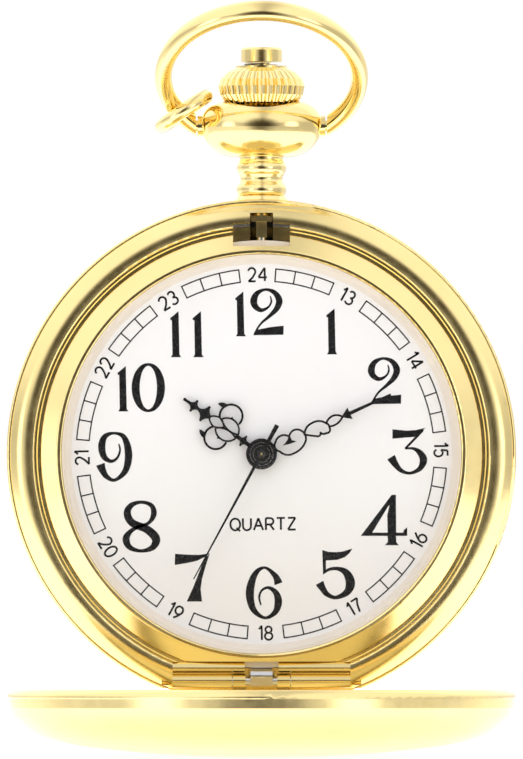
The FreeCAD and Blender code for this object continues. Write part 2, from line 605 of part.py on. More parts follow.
def make_going_train():
    """Rotor, fifth, fourth, third and centre wheels. The back plate's pivots run in the bridge."""
    tx, tz = THIRD
    fx, fz = FIFTH
    rx, rz = ROTOR
    rotor = joined([
        arbor(0.1, -3.95, -1.9, rx, rz),
        gear(8, 0.08, -3.55, -3.3, rx, rz, mate_turn(8, ROTOR_ANGLE + 180, False)),
        disc_y(0.62, -2.95, -2.4, rx, rz),
    ])
    save(rotor, "rotor")

    fifth = joined([
        arbor(0.1, -3.95, -1.9, fx, fz),
        gear(48, 0.08, -3.5, -3.35, fx, fz, mate_turn(48, ROTOR_ANGLE)),
        gear(8, 0.1, -2.82, -2.53, fx, fz, mate_turn(8, FIFTH_ANGLE + 180, False)),
        disc_y(0.25, -3.4, -2.8, fx, fz),
    ])
    save(fifth, "fifth_wheel")

    fourth = joined([
        arbor(SECOND_R, -7.2, -1.9, 0, 0),
        gear(40, 0.1, -2.75, -2.6, 0, 0, mate_turn(40, FIFTH_ANGLE)),
        gear(8, THIRD_DISTANCE / 34, -3.2, -2.8, 0, 0, mate_turn(8, THIRD_ANGLE, False)),
        disc_y(0.25, -2.85, -2.7),
    ])
    save(fourth, "fourth_wheel")

    third = joined([
        arbor(0.1, -5.05, -1.9, tx, tz),
        gear(60, THIRD_DISTANCE / 34, -3.1, -2.95, tx, tz, mate_turn(60, THIRD_ANGLE + 180)),
        gear(8, THIRD_DISTANCE / 36, -4.78, -3.05, tx, tz, mate_turn(8, THIRD_ANGLE + 180, False)),
    ])
    save(third, "third_wheel")

    centre = gear(64, THIRD_DISTANCE / 36, -4.75, -4.6, 0, 0, mate_turn(64, THIRD_ANGLE), CANNON_R)
    save(centre, "centre_wheel")
    save(ring_y(0.25, SECOND_R + 0.03, -6.72, PLATE_BACK_Y - 0.05), "centre_tube")


def make_motion_work():
    """Cannon pinion, minute wheel, hour wheel, setting wheel and the dial washer."""
    mx, mz = MINUTE_WHEEL
    sx, sz = SETTING
    cannon = joined([
        disc_y(CANNON_R, -6.62, -4.6),
        gear(12, 0.1, -4.98, -4.78, 0, 0, mate_turn(12, MINUTE_WHEEL_ANGLE)),
    ]).cut(disc_y(0.28, -7.0, -4.0))
    save(cannon, "cannon_pinion")

    minute = joined([
        arbor(0.12, -5.17, -4.2, mx, mz),
        gear(36, 0.1, -4.95, -4.8, mx, mz, mate_turn(36, MINUTE_WHEEL_ANGLE + 180, False)),
        gear(10, 0.096, -5.17, -4.95, mx, mz, mate_turn(10, MINUTE_WHEEL_ANGLE + 180, False)),
    ])
    save(minute, "minute_wheel")

    hour = joined([
        disc_y(0.7, -6.17, -5.0),
        gear(40, 0.096, -5.15, -5.0, 0, 0, mate_turn(40, MINUTE_WHEEL_ANGLE)),
    ]).cut(disc_y(CANNON_R + 0.03, -7.0, -4.0))
    save(hour, "hour_wheel")

    save(ring_y(1.4, 0.75, -5.195, -5.165), "dial_washer")
    save(joined([arbor(0.15, -5.05, -4.2, sx, sz), gear(20, 0.1, -4.95, -4.8, sx, sz)]), "setting_wheel")


def make_plates():
    """Main plate with its posts, the train bridge and its screws, and the movement holder."""
    posts = [(-2.6, 2.0), (-2.2, -5.2), (4.2, -2.4)]
    bx, bz = BATTERY
    main = [disc_y(PLATE_R, PLATE_FRONT_Y, PLATE_BACK_Y)]
    main += [disc_y(0.42, PLATE_BACK_Y - 0.1, BRIDGE_FRONT_Y, x, z) for x, z in posts]
    main.append(disc_y(0.3, PLATE_BACK_Y - 0.1, -3.2, *LEVER_PIVOT))
    main = joined(main)
    holes = [disc_y(0.2, -3.65, -2.0, x, z) for x, z in posts]
    holes += [disc_y(0.13, -4.0, -3.0, *ROTOR), disc_y(0.13, -4.0, -3.0, *FIFTH)]
    holes += [disc_y(0.42, -5.0, -3.0, *THIRD), disc_y(0.25, -5.0, -3.0)]
    holes += [disc_y(0.15, -5.0, -4.15, *MINUTE_WHEEL), disc_y(0.18, -5.0, -4.15, *SETTING)]
    holes += [block(-0.62, 0.62, -5.0, -3.0, 4.85, 10.0), block(-0.9, 0.9, -5.0, -3.0, 5.6, 7.0)]
    holes.append(block(-8.35, -6.45, -5.0, -3.0, -4.8, 2.4))
    for hole in holes:
        main = main.cut(hole)
    save(main, "main_plate")

    bridge = disc_y(5.6, BRIDGE_FRONT_Y, BRIDGE_BACK_Y, -0.5, -1.2).common(block(-9, 9, -3, 0, -9, 2.7))
    bridge = bridge.cut(disc_y(BATTERY_R + 0.15, -3, 0, bx, bz))
    for spot, radius in ((ROTOR, 0.13), (FIFTH, 0.13), (THIRD, 0.13), ((0, 0), SECOND_R + 0.03)):
        bridge = bridge.cut(disc_y(radius, -3, 0, *spot))
    bridge = bridge.cut(block(4.1, 9.0, -3, 0, -1.7, 3.0))
    for x, z in posts:
        bridge = bridge.cut(disc_y(0.22, -3, 0, x, z))
    save(bridge, "train_bridge")

    screws = []
    for x, z in posts:
        head = disc_y(0.55, BRIDGE_BACK_Y, BRIDGE_BACK_Y + 0.3, x, z)
        head = head.cut(block(x - 0.6, x + 0.6, BRIDGE_BACK_Y + 0.18, -1, z - 0.07, z + 0.07))
        screws.append(joined([head, disc_y(0.2, -3.6, BRIDGE_BACK_Y + 0.1, x, z)]))
    save(Part.makeCompound(screws), "bridge_screws")

    holder = ring_y(BORE_R - 0.1, PLATE_R + 0.05, DIAL_Y + DIAL_T, -2.2)
    pockets = ring_y(18.3, 11.2, -4.2, -2.0)
    for turn in range(0, 360, 45):
        rib = block(-0.5, 0.5, -5.0, -1.0, 10.0, 19.0)
        pockets = pockets.cut(dial_turn(rib, turn))
    holder = holder.cut(pockets).cut(rod_z(0.9, 9.0, 20.0))
    save(holder, "movement_holder")


def make_electrics():
    """Stator, coil, circuit board with its chip and quartz crystal, battery and its clamp."""
    bx, bz = BATTERY
    stator = joined([
        disc_y(1.6, -2.95, -2.5, *ROTOR),
        block(-5.2, -4.4, -2.95, -2.5, -1.5, 3.2), block(-7.9, -4.4, -2.95, -2.5, 2.45, 3.2),
        block(-5.0, -4.2, -2.95, -2.5, -5.6, -3.2), block(-7.9, -4.2, -2.95, -2.5, -5.6, -4.85),
    ]).cut(disc_y(0.85, -4, -1, *ROTOR))
    save(stator, "stator")
    save(block(-7.7, -7.1, -3.45, -2.95, -5.5, 3.1), "coil_core")
    winding = rod_z(0.85, -4.6, 2.2, -7.4, -3.2).cut(block(-7.7, -7.1, -3.45, -2.95, -6, 4))
    save(winding, "coil_winding")

    board = plate_y([(-7.5, 3.6), (-1.4, 3.6), (-1.4, 8.6), (-4.0, 8.2), (-7.5, 5.0)], PLATE_BACK_Y, -3.45)
    save(board, "circuit_board")
    save(rod_x(0.7, -6.2, -1.6, -2.75, 6.3), "quartz_crystal")
    save(block(-5.2, -3.6, -3.45, -2.95, 3.9, 5.3), "ic_chip")

    cell = joined([disc_y(BATTERY_R, PLATE_BACK_Y, -1.9, bx, bz), disc_y(BATTERY_R - 0.4, -2.0, -1.6, bx, bz)])
    save(cell, "battery")
    clamp = joined([block(4.2, 5.8, -1.6, -1.4, -1.6, 6.9), block(4.2, 5.8, PLATE_BACK_Y, -1.4, -1.6, -1.35)])
    save(clamp, "battery_clamp")


def make_keyless_work():
    """Clutch wheel on the stem's square, and the setting lever in the stem's groove."""
    clutch = tube_z(0.8, 0.1, 5.9, 6.6).cut(block(-0.33, 0.33, STEM_Y - 0.33, STEM_Y + 0.33, 5, 7))
    clutch = clutch.cut(tube_z(1.0, 0.62, 6.2, 6.38))
    for i in range(6):
        notch = block(-0.08, 0.08, STEM_Y, STEM_Y + 1.0, 5.8, 6.02)
        notch.rotate(Vec(0, STEM_Y, 0), Vec(0, 0, 1), 60 * i)
        clutch = clutch.cut(notch)
    save(clutch, "clutch_wheel")

    px, pz = LEVER_PIVOT
    pin_z = 7.9
    lever = joined([
        disc_y(0.62, -3.45, -3.25, px, pz), disc_y(0.3, -3.45, -3.25, 0, pin_z),
        plate_y([(0, pin_z - 0.25), (px, pz - 0.5), (px, pz + 0.5), (0, pin_z + 0.25)], -3.45, -3.25),
        disc_y(0.15, -3.68, -3.4, 0, pin_z),
    ]).cut(disc_y(0.33, -4, -3, px, pz))
    save(lever, "setting_lever")


case_parts = make_case()
make_lid()
make_hinge_and_latch()
make_pendant(case_parts)
make_crown()
make_bow()
make_hands()
make_going_train()
make_motion_work()
make_plates()
make_electrics()
make_keyless_work()
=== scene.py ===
import math

import bpy
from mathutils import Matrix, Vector


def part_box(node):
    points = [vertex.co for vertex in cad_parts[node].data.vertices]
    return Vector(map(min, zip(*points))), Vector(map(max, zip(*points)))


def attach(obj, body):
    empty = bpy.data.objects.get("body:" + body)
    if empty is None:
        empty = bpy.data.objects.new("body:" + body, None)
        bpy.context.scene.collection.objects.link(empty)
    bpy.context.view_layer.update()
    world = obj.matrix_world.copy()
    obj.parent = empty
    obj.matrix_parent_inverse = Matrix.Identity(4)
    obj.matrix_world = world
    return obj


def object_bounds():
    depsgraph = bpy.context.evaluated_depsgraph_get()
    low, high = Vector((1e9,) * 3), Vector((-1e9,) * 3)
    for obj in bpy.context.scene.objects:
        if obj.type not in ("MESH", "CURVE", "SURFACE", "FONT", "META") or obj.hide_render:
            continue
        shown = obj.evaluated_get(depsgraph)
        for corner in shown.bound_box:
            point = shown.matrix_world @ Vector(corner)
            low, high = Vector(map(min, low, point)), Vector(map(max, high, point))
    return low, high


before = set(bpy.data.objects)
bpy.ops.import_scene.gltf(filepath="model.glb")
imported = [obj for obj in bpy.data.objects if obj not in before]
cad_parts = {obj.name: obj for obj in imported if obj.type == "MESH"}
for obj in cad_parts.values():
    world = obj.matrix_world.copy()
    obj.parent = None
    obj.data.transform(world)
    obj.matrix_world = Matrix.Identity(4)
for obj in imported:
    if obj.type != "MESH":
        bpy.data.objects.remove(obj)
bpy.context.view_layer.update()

MM = 0.001
DIAL_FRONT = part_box("dial")[0].y
FLOOR_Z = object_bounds()[0].z

# ---------------------------------------------------------------- materials
GOLD = (0.98, 0.8, 0.385)
GOLD_DRIFT = (0.985, 0.97, 0.93)   # how far the plating darkens in places
DUSK = (1.0, 0.85, 0.6)      # tint of the dark part of the room


def new_material(name, colour, metallic, roughness):
    """A principled material. Returns the material, its node tree and its shader node."""
    mat = bpy.data.materials.new(name)
    mat.use_nodes = True
    tree = mat.node_tree
    shader = tree.nodes["Principled BSDF"]
    shader.inputs["Base Color"].default_value = (*colour, 1.0)
    shader.inputs["Metallic"].default_value = metallic
    shader.inputs["Roughness"].default_value = roughness
    return mat, tree, shader


def noise_node(tree, scale, detail=3.0, stretch=(1.0, 1.0, 1.0)):
    """Noise over the object's own coordinates, in cells per metre."""
    coord = tree.nodes.new("ShaderNodeTexCoord")
    mapping = tree.nodes.new("ShaderNodeMapping")
    mapping.inputs["Scale"].default_value = stretch
    noise = tree.nodes.new("ShaderNodeTexNoise")
    noise.inputs["Scale"].default_value = scale
    noise.inputs["Detail"].default_value = detail
    tree.links.new(coord.outputs["Object"], mapping.inputs["Vector"])
    tree.links.new(mapping.outputs["Vector"], noise.inputs["Vector"])
    return noise


def vary_roughness(tree, shader, low, high, scale, stretch=(1.0, 1.0, 1.0)):
    """Roughness that wanders between two values."""
    noise = noise_node(tree, scale, 4.0, stretch)
    spread = tree.nodes.new("ShaderNodeMapRange")
    spread.inputs["From Min"].default_value = 0.3
    spread.inputs["From Max"].default_value = 0.7
    spread.inputs["To Min"].default_value = low
    spread.inputs["To Max"].default_value = high
    tree.links.new(noise.outputs["Fac"], spread.inputs["Value"])
    tree.links.new(spread.outputs["Result"], shader.inputs["Roughness"])


def vary_colour(tree, shader, first, second, scale, detail=2.0):
    """Base colour that drifts between two tones."""
    noise = noise_node(tree, scale, detail)
    ramp = tree.nodes.new("ShaderNodeValToRGB")
    ramp.color_ramp.elements[0].position = 0.35
    ramp.color_ramp.elements[0].color = (*first, 1.0)
    ramp.color_ramp.elements[1].position = 0.65
    ramp.color_ramp.elements[1].color = (*second, 1.0)
    tree.links.new(noise.outputs["Fac"], ramp.inputs["Fac"])
    tree.links.new(ramp.outputs["Color"], shader.inputs["Base Color"])


def add_bump(tree, shader, scale, depth_mm, strength=1.0, detail=3.0, stretch=(1.0, 1.0, 1.0)):
    """Fine relief from noise."""
    noise = noise_node(tree, scale, detail, stretch)
    bump = tree.nodes.new("ShaderNodeBump")
    bump.inputs["Strength"].default_value = strength
    bump.inputs["Distance"].default_value = depth_mm * MM
    tree.links.new(noise.outputs["Fac"], bump.inputs["Height"])
    tree.links.new(bump.outputs["Normal"], shader.inputs["Normal"])


def gold(name, low, high, depth_mm):
    """Gold plating: tone, gloss and a faint orange peel all wander a little."""
    darker = tuple(c * f for c, f in zip(GOLD, GOLD_DRIFT))
    mat, tree, shader = new_material(name, GOLD, 1.0, low)
    vary_colour(tree, shader, GOLD, darker, 220.0)
    vary_roughness(tree, shader, low, high, 900.0)
    add_bump(tree, shader, 5200.0, depth_mm, 0.35)
    return mat


def make_materials():
    """One material for every slot of the record."""
    mats = {
        "gold_polish": gold("gold_polish", 0.1, 0.15, 0.0006),
        "gold_satin": gold("gold_satin", 0.17, 0.22, 0.0008),
    }
    mat, tree, shader = new_material("glass", (1.0, 1.0, 1.0), 0.0, 0.0)
    shader.inputs["Transmission Weight"].default_value = 1.0
    shader.inputs["Alpha"].default_value = 0.06
    shader.inputs["IOR"].default_value = 1.45
    mats["glass"] = mat

    mat, tree, shader = new_material("dial_white", (0.89, 0.886, 0.907), 0.0, 0.42)
    vary_colour(tree, shader, (0.9, 0.897, 0.918), (0.88, 0.875, 0.896), 60.0)
    vary_roughness(tree, shader, 0.38, 0.48, 2500.0)
    add_bump(tree, shader, 14000.0, 0.0015, 0.3)
    shader.inputs["Specular IOR Level"].default_value = 0.3
    mats["dial_white"] = mat

    mat, tree, shader = new_material("hand_black", (0.012, 0.012, 0.014), 0.0, 0.22)
    vary_roughness(tree, shader, 0.18, 0.32, 3500.0)
    add_bump(tree, shader, 16000.0, 0.001, 0.3)
    shader.inputs["Coat Weight"].default_value = 0.1
    mats["hand_black"] = mat

    mat, tree, shader = new_material("steel", (0.78, 0.78, 0.8), 1.0, 0.2)
    vary_roughness(tree, shader, 0.14, 0.28, 1500.0, (1.0, 1.0, 12.0))
    add_bump(tree, shader, 3000.0, 0.001, 0.3, 3.0, (1.0, 1.0, 14.0))
    mats["steel"] = mat

    mat, tree, shader = new_material("movement_brass", (0.86, 0.68, 0.36), 1.0, 0.3)
    vary_colour(tree, shader, (0.88, 0.7, 0.38), (0.8, 0.61, 0.3), 700.0)
    vary_roughness(tree, shader, 0.24, 0.36, 1800.0, (14.0, 1.0, 1.0))
    mats["movement_brass"] = mat

    mat, tree, shader = new_material("copper", (0.8, 0.34, 0.16), 1.0, 0.28)
    vary_colour(tree, shader, (0.84, 0.38, 0.18), (0.62, 0.22, 0.09), 5000.0)
    add_bump(tree, shader, 9000.0, 0.02, 0.8, 1.0, (1.0, 1.0, 0.05))
    mats["copper"] = mat

    mat, tree, shader = new_material("holder_plastic", (0.9, 0.82, 0.73), 0.0, 0.45)
    vary_colour(tree, shader, (0.91, 0.83, 0.74), (0.87, 0.79, 0.7), 300.0)
    add_bump(tree, shader, 9000.0, 0.006, 0.5)
    mats["holder_plastic"] = mat

    mat, tree, shader = new_material("board_green", (0.03, 0.19, 0.08), 0.0, 0.28)
    vary_colour(tree, shader, (0.03, 0.2, 0.085), (0.02, 0.13, 0.055), 2500.0)
    add_bump(tree, shader, 7000.0, 0.004, 0.4)
    mats["board_green"] = mat

    mat, tree, shader = new_material("chip_black", (0.022, 0.022, 0.022), 0.0, 0.55)
    vary_roughness(tree, shader, 0.48, 0.66, 6000.0)
    add_bump(tree, shader, 16000.0, 0.004, 0.5)
    mats["chip_black"] = mat

    mat, tree, shader = new_material("seal_rubber", (0.035, 0.035, 0.036), 0.0, 0.62)
    vary_colour(tree, shader, (0.04, 0.04, 0.041), (0.024, 0.024, 0.025), 3000.0)
    add_bump(tree, shader, 9000.0, 0.006, 0.5)
    mats["seal_rubber"] = mat
    return mats


def dress_nodes(mats):
    """Gives every CAD node the material of its slot."""
    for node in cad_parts.values():
        for slot in node.material_slots:
            kind = slot.material.name.split(".")[0] if slot.material else ""
            for key in mats:
                if kind.startswith(key):
                    slot.material = mats[key]


# ---------------------------------------------------------------- printing on the dial
PRINT_Y = DIAL_FRONT - 0.012 * MM


class Print:
    """Flat shapes printed on the dial, gathered into one mesh. Points are (x, z) in millimetres."""

    def __init__(self, name, front=PRINT_Y):
        self.name = name
        self.front = front
        self.verts = []
        self.faces = []
        self.layer = 0

    def add(self, points, faces):
        """Adds faces on a layer of their own, a hair in front of the layer before."""
        start = len(self.verts)
        y = self.front - self.layer * 0.0004 * MM
        self.layer = (self.layer + 1) % 10
        self.verts += [(x * MM, y, z * MM) for x, z in points]
        self.faces += [tuple(start + i for i in face) for face in faces]

    def polygon(self, points):
        """A filled outline."""
        self.add(points, [tuple(range(len(points)))])

    def ribbon(self, points, steps=8, closed=False):
        """A smooth stroke through (x, z, width) points."""
        path = smooth(points, steps, closed)
        count = len(path)
        sides = []
        for i, (x, z, width) in enumerate(path):
            before = path[(i - 1) % count] if closed else path[max(i - 1, 0)]
            after = path[(i + 1) % count] if closed else path[min(i + 1, count - 1)]
            dx, dz = after[0] - before[0], after[1] - before[1]
            length = math.hypot(dx, dz) or 1.0
            nx, nz = -dz / length * width / 2, dx / length * width / 2
            sides += [(x + nx, z + nz), (x - nx, z - nz)]
        ends = count if closed else count - 1
        faces = []
        for i in range(ends):
            j = (i + 1) % count
            faces.append((2 * i, 2 * j, 2 * j + 1, 2 * i + 1))
        self.add(sides, faces)

    def finish(self, material, body="case"):
        """Makes the mesh piece, facing forward."""
        mesh = bpy.data.meshes.new(self.name)
        mesh.from_pydata(self.verts, [], self.faces)
        mesh.materials.append(material)
        mesh.update()
        for face in mesh.polygons:
            if face.normal.y > 0:
                face.flip()
        piece = bpy.data.objects.new(self.name, mesh)
        bpy.context.scene.collection.objects.link(piece)
        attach(piece, body)
        return piece


def smooth(points, steps, closed):
    """Catmull-Rom samples through points of any number of values."""
    count = len(points)
    path = []
    spans = count if closed else count - 1
    for i in range(spans):
        quad = []
        for k in (-1, 0, 1, 2):
            j = i + k
            quad.append(points[j % count] if closed else points[min(max(j, 0), count - 1)])
        for s in range(steps):
            t = s / steps
            path.append(tuple(
                0.5 * (2 * b + (c - a) * t + (2 * a - 5 * b + 4 * c - d) * t * t
                       + (3 * b - a - 3 * c + d) * t * t * t)
                for a, b, c, d in zip(*quad)
            ))
    if not closed:
        path.append(tuple(points[-1]))
    return path


# Numerals in hundredths of their height. Fills are outlines and strokes are (x, z, width).
FIGURES = {
    "1": {"wide": 24.5, "fills": [
        [(18.5, 100), (0, 84.5), (1.5, 80), (4, 81), (5.3, 6), (2, 0), (24.5, 0), (20.6, 6)]]},
    "2": {"wide": 71, "fills": [
        [(6.8, 0), (8, 6), (12, 11), (20, 12.8), (45, 17.6), (71, 20.1), (70.4, 0.9)]],
        "strokes": [[(42.6, 83.4, 2.6), (44.6, 71, 4), (38, 59.4, 4.6), (23.5, 53.2, 8.5), (11, 61, 12.5),
                     (7.4, 74, 14.8), (14.5, 89, 10.5), (32, 97, 5.5), (51, 91, 10), (61.5, 74, 14),
                     (55.6, 56, 11.5), (40, 39.9, 7), (23, 25.1, 4.5), (12, 9, 4)]]},
    "3": {"wide": 87, "fills": [
        [(12.6, 96.9), (12.6, 76.9), (27, 78.2), (41.8, 79.4), (63.4, 80.9), (82.8, 100), (62, 95.2), (41.8, 94)]],
        "strokes": [[(78, 95, 4), (58, 74.5, 5), (39.5, 55.5, 4.6)],
                    [(39.5, 55.8, 3.5), (57, 56, 6), (71.5, 46.5, 12.5), (78.6, 31, 15.8), (70.5, 13, 10.5),
                     (51, 3.8, 6.2), (33, 8, 8.5), (20.3, 20.5, 13), (9.5, 37.5, 19)]]},
    "4": {"wide": 91.4, "fills": [
        [(60.9, 100), (69, 100), (69.8, 7.2), (74.7, 0.9), (47.4, 0.9), (53.2, 7.2), (52.2, 60)],
        [(60.9, 100), (63, 88), (53, 76), (22.5, 25.6), (0, 19.3)],
        [(0, 19.3), (20, 25.6), (83.5, 25.6), (85, 31), (91.4, 36), (91.4, 19.3)]]},
    "5": {"wide": 78.4, "fills": [
        [(13.5, 97.1), (26, 93.4), (40, 92.8), (53, 94), (72.9, 100), (67, 91), (58, 83), (43.2, 77.8), (20.2, 76.4)],
        [(13.5, 97.1), (20.5, 92), (20.8, 56), (15.2, 47.8)]],
        "strokes": [[(15.6, 51.5, 4), (27, 58.8, 6), (44, 60.4, 7.5), (60.5, 52.4, 14), (68.8, 33, 18.4),
                     (62, 14.2, 13.5), (40.3, 3.7, 7.4), (23, 10.2, 10), (14, 22, 13), (8, 32.5, 17)]]},
    "6": {"wide": 69, "strokes": [
        [(62, 67, 16), (55.5, 82, 10.5), (36.2, 97.3, 5), (17.8, 85.5, 10.5), (7.9, 52.6, 15.4), (14, 19.5, 11.5),
         (35.5, 2.8, 5.6), (55, 12.8, 10), (61.5, 32.9, 14.2), (56.5, 50.5, 10.5), (43, 59.6, 5.8),
         (30.5, 54.6, 4.2), (25.4, 41.6, 4), (28.8, 26.6, 2.6)]]},
    "7": {"wide": 72.7, "fills": [
        [(0.6, 99.1), (0, 75.8), (21.8, 79.4), (46, 84.5), (61.2, 92), (72.7, 100), (53, 97.2), (34, 97)],
        [(72.7, 100), (63.6, 71.8), (56.7, 47.6), (53.6, 26.4), (56.7, 0), (24.8, 0), (37, 26.4), (49.1, 56.7),
         (61, 88)]]},
    "8": {"wide": 73.4, "closed": [
        [(51.2, 57.6, 6.5), (60.6, 74.5, 11), (55.4, 91.2, 8.5), (36, 97, 6.2), (17.2, 91, 10), (9.4, 75.6, 14),
         (19, 57.2, 14.5), (47.1, 44.8, 15.5), (64.5, 27.1, 16.4), (58.2, 10, 11.5), (36, 3.2, 6.4), (14, 10.4, 10.5),
         (7.2, 26.5, 13.6), (16, 41, 8.6), (33.5, 50.7, 6.2)]]},
    "9": {"wide": 71.4, "strokes": [
        [(44.5, 76, 2.6), (46.9, 63, 4), (41, 47.4, 5), (28.3, 41.2, 7.2), (14.5, 51, 12), (10.4, 72.5, 14.4),
         (17, 91, 10.5), (35.4, 97.4, 5.2), (55.2, 89, 10.5), (64, 56.7, 15), (58, 22.7, 12), (37, 3.5, 6.4),
         (20.5, 10, 10), (12, 23, 14), (7.5, 35, 18)]]},
    "0": {"wide": 67.4, "closed": [[
        (33.7 + 25.7 * math.cos(i * math.pi / 8), 50 + 47 * math.sin(i * math.pi / 8),
         5.5 + 10.8 * abs(math.cos(i * math.pi / 8)) ** 1.4) for i in range(16)]]},
}

# Each numeral's figure, the middle of the figure and its height.
HOURS = [
    ("1", -1.92, 12.8, 4.1), ("2", 0.5, 13.0, 4.3), ("1", 6.42, 11.2, 4.2), ("2", 11.25, 6.7, 4.3),
    ("3", 13.3, 0.23, 4.3), ("4", 11.2, -6.07, 4.65), ("5", 6.75, -10.98, 4.65), ("6", 0.23, -12.7, 4.85),
    ("7", -6.33, -11.3, 4.4), ("8", -10.98, -6.65, 4.75), ("9", -13.45, -0.27, 4.56), ("1", -12.67, 5.96, 4.15),
    ("0", -10.35, 6.06, 4.5), ("1", -7.85, 10.94, 4.2), ("1", -5.8, 10.94, 4.2),
]


def print_hours(material):
    """The twelve large numerals."""
    sheet = Print("dial_numerals")
    for figure, x, z, height in HOURS:
        shape = FIGURES[figure]
        unit = height / 100

        def place(point):
            rest = [v * unit for v in point[2:]]
            return (x + (point[0] - shape["wide"] / 2) * unit, z + (point[1] - 50) * unit, *rest)

        for outline in shape.get("fills", []):
            sheet.polygon([place(p) for p in outline])
        for line in shape.get("strokes", []):
            sheet.ribbon([place(p) for p in line])
        for line in shape.get("closed", []):
            sheet.ribbon([place(p) for p in line], 8, True)
    return sheet.finish(material)


# Small figures and letters drawn with one even line, in hundredths of their height.
def arc_points(cx, cz, rx, rz, start, end, count=7):
    """Points along an ellipse, angles in degrees counted from +x."""
    turns = [math.radians(start + (end - start) * i / (count - 1)) for i in range(count)]
    return [(cx + rx * math.cos(t), cz + rz * math.sin(t)) for t in turns]


THIN = {
    "0": (60, [arc_points(30, 50, 30, 50, 90, 450, 13)]),
    "1": (24, [[(0, 82), (12, 90), (22, 100), (22, 0)]]),
    "2": (56, [arc_points(28, 72, 27, 28, 165, -35) + [(30, 25), (2, 0)], [(2, 0), (56, 0)]]),
    "3": (56, [arc_points(27, 75, 24, 25, 150, -90), arc_points(27, 26, 28, 26, 90, -150)]),
    "4": (64, [[(48, 0), (48, 100)], [(48, 100), (0, 28)], [(0, 28), (64, 28)]]),
    "5": (56, [[(50, 100), (12, 100)], [(12, 100), (5, 52)], arc_points(27, 32, 28, 32, 140, -150)]),
    "6": (58, [arc_points(29, 31, 28, 31, 90, 450, 11), [(44, 100), (20, 72), (2, 40), (1, 28)]]),
    "7": (54, [[(0, 100), (54, 100)], [(54, 100), (32, 56), (20, 0)]]),
    "8": (56, [arc_points(28, 76, 23, 24, 90, 450, 11), arc_points(28, 27, 28, 27, 90, 450, 11)]),
    "9": (58, [arc_points(29, 69, 28, 31, 90, 450, 11), [(14, 0), (38, 28), (56, 60), (57, 72)]]),
    "Q": (82, [arc_points(41, 50, 41, 50, 90, 450, 13), [(52, 22), (82, -8)]]),
    "U": (68, [[(0, 100), (0, 34)], arc_points(34, 34, 34, 34, 180, 360), [(68, 34), (68, 100)]]),
    "A": (78, [[(0, 0), (39, 100)], [(39, 100), (78, 0)], [(14, 36), (64, 36)]]),
    "R": (68, [[(0, 0), (0, 100)], [(0, 100), (38, 100)], arc_points(38, 73, 26, 27, 90, -90), [(38, 46), (0, 46)],
               [(34, 46), (68, 0)]]),
    "T": (70, [[(35, 0), (35, 100)], [(0, 100), (70, 100)]]),
    "Z": (66, [[(2, 100), (64, 100)], [(64, 100), (0, 0)], [(0, 0), (66, 0)]]),
}


def write(sheet, word, x, z, height, line, turn, space):
    """Writes a word of thin figures centred on a point and turned clockwise in degrees."""
    unit = height / 100
    widths = [THIN[c][0] * unit for c in word]
    total = sum(widths) + space * (len(word) - 1)
    cos, sin = math.cos(math.radians(turn)), math.sin(math.radians(turn))
    left = -total / 2
    for c, width in zip(word, widths):
        for path in THIN[c][1]:
            points = []
            for px, pz in path:
                u, v = left + px * unit, (pz - 50) * unit
                points.append((x + u * cos + v * sin, z - u * sin + v * cos, line))
            sheet.ribbon(points, 4 if len(points) > 2 else 1)
        left += width + space


def print_track(material):
    """The ring of boxes and the small numbers 13 to 24 between them."""
    track = Print("dial_track")
    small = Print("dial_small_numbers")
    inner, outer, line, lean = 15.8, 16.95, 0.12, -1.3
    for hour in range(12):
        first, last = hour * 30 + 5.75 + lean, hour * 30 + 24.25 + lean
        steps = 12
        for radius in (inner, outer):
            path = []
            for i in range(steps + 1):
                turn = math.radians(first + (last - first) * i / steps)
                path.append((radius * math.sin(turn), radius * math.cos(turn), line))
            track.ribbon(path, 1)
        for i in range(4):
            turn = math.radians(first + (last - first) * i / 3)
            ends = (inner - line / 2, outer + line / 2)
            track.ribbon([(r * math.sin(turn), r * math.cos(turn), line) for r in ends], 1)
        number = str(hour + 12) if hour else "24"
        angle = hour * 30 + lean
        turn = math.radians(angle)
        upside = 4 <= hour <= 8
        write(small, number, 16.4 * math.sin(turn), 16.4 * math.cos(turn), 1.22, 0.18,
              angle - 180 if upside else angle, 0.26)
    return [track.finish(material), small.finish(material)]


def hub_rings(material):
    """Turned rings on the minute hand's hub."""
    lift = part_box("minute_hand")[0].y - 0.004 * MM
    sheet = Print("hub_rings", lift)
    for radius, line in ((0.35, 0.1), (0.75, 0.08), (1.05, 0.06)):
        points = [(radius * math.sin(i * math.pi / 12), radius * math.cos(i * math.pi / 12), line) for i in range(24)]
        sheet.ribbon(points, 3, True)
    return sheet.finish(material, "minutes")


def print_word(material):
    """The generic word for the kind of movement."""
    sheet = Print("dial_word")
    write(sheet, "QUARTZ", 0.14, -6.42, 1.08, 0.18, -0.8, 0.26)
    return sheet.finish(material)


# ---------------------------------------------------------------- studio
EYE = Vector((0.0, -808 * MM, 6.8 * MM))
FIELD_HEIGHT = 69.2       # millimetres seen at the case's face
FACE_Y = -8.0
ROOM = 0.58               # light of the room seen in the metal
FRONT = 0.05              # light of the dark part in front of the watch
BEHIND = 0.3              # extra light of the room behind the watch
FILL = 1.0                # light that falls on matt surfaces
FRONT_EDGE = (-0.999, -0.88)   # y of a direction, from the dark part to the full light
BEHIND_EDGE = (0.1, 0.5)       # y of a direction, over which the light behind comes up
SKY = 0.12                # extra light from above on matt surfaces
SKY_EDGE = (-0.6, 0.8)    # z of a direction, over which the light above comes up
FLOOR_R = 0.15            # metres
FLOOR_GLOW = 0.7
SOFTBOXES = [             # clock angle, inner and outer half width in degrees, extra light
    (45.0, 14.0, 42.0, 0.52),
    (320.0, 22.0, 46.0, 0.56),
    (238.0, 10.0, 34.0, 0.42),
]
